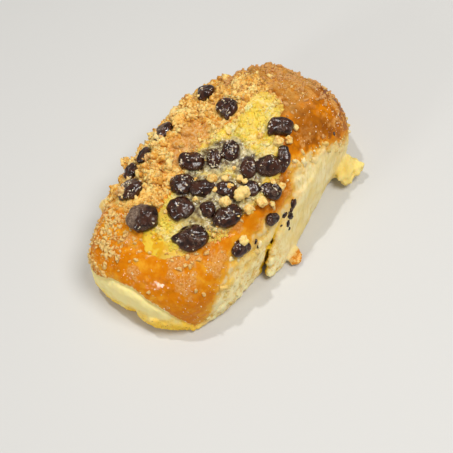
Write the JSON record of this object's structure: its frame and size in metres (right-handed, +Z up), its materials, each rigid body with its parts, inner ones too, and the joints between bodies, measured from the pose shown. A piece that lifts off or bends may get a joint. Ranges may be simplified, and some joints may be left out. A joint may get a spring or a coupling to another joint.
{
  "type": "cream-filled sweet roll",
  "caption": "Oblong pull-apart sweet roll with a custard-filled trough, dark chocolate chips and streusel crumbs on top.",
  "frame": {"origin": "middle of the roll's footprint, on the surface it rests on", "axes": "+X from the flat near end to the puffed far end, along the roll's length; +Z up; -Y the torn flank with the flap"},
  "size_m": [0.1411, 0.0892, 0.052],
  "materials": {
    "dough": "glossy baked crust, pale torn crumb on the flanks",
    "custard": "moist, curdled",
    "chocolate": "dark, satin to glossy",
    "streusel": "dry, sandy crumbs"
  },
  "bodies": {
    "root": {"dough": "dough", "custard": "custard", "chip_01": "chocolate", "chip_02": "chocolate", "chip_03": "chocolate", "chip_04": "chocolate", "chip_05": "chocolate", "chip_06": "chocolate", "chip_07": "chocolate", "chip_08": "chocolate", "chip_09": "chocolate", "chip_10": "chocolate", "chip_11": "chocolate", "chip_12": "chocolate", "chip_13": "chocolate", "chip_14": "chocolate", "chip_15": "chocolate", "chip_16": "chocolate", "chip_17": "chocolate", "chip_18": "chocolate", "chip_19": "chocolate", "chip_20": "chocolate", "chip_21": "chocolate", "chip_22": "chocolate", "chip_23": "chocolate", "chip_24": "chocolate", "chip_25": "chocolate", "crumb_1": "streusel", "crumb_2": "streusel", "crumb_3": "streusel", "crumb_4": "streusel", "crumb_5": "streusel", "crumb_6": "streusel", "crumb_7": "streusel", "crumb_8": "streusel"}
  },
  "joints": []
}
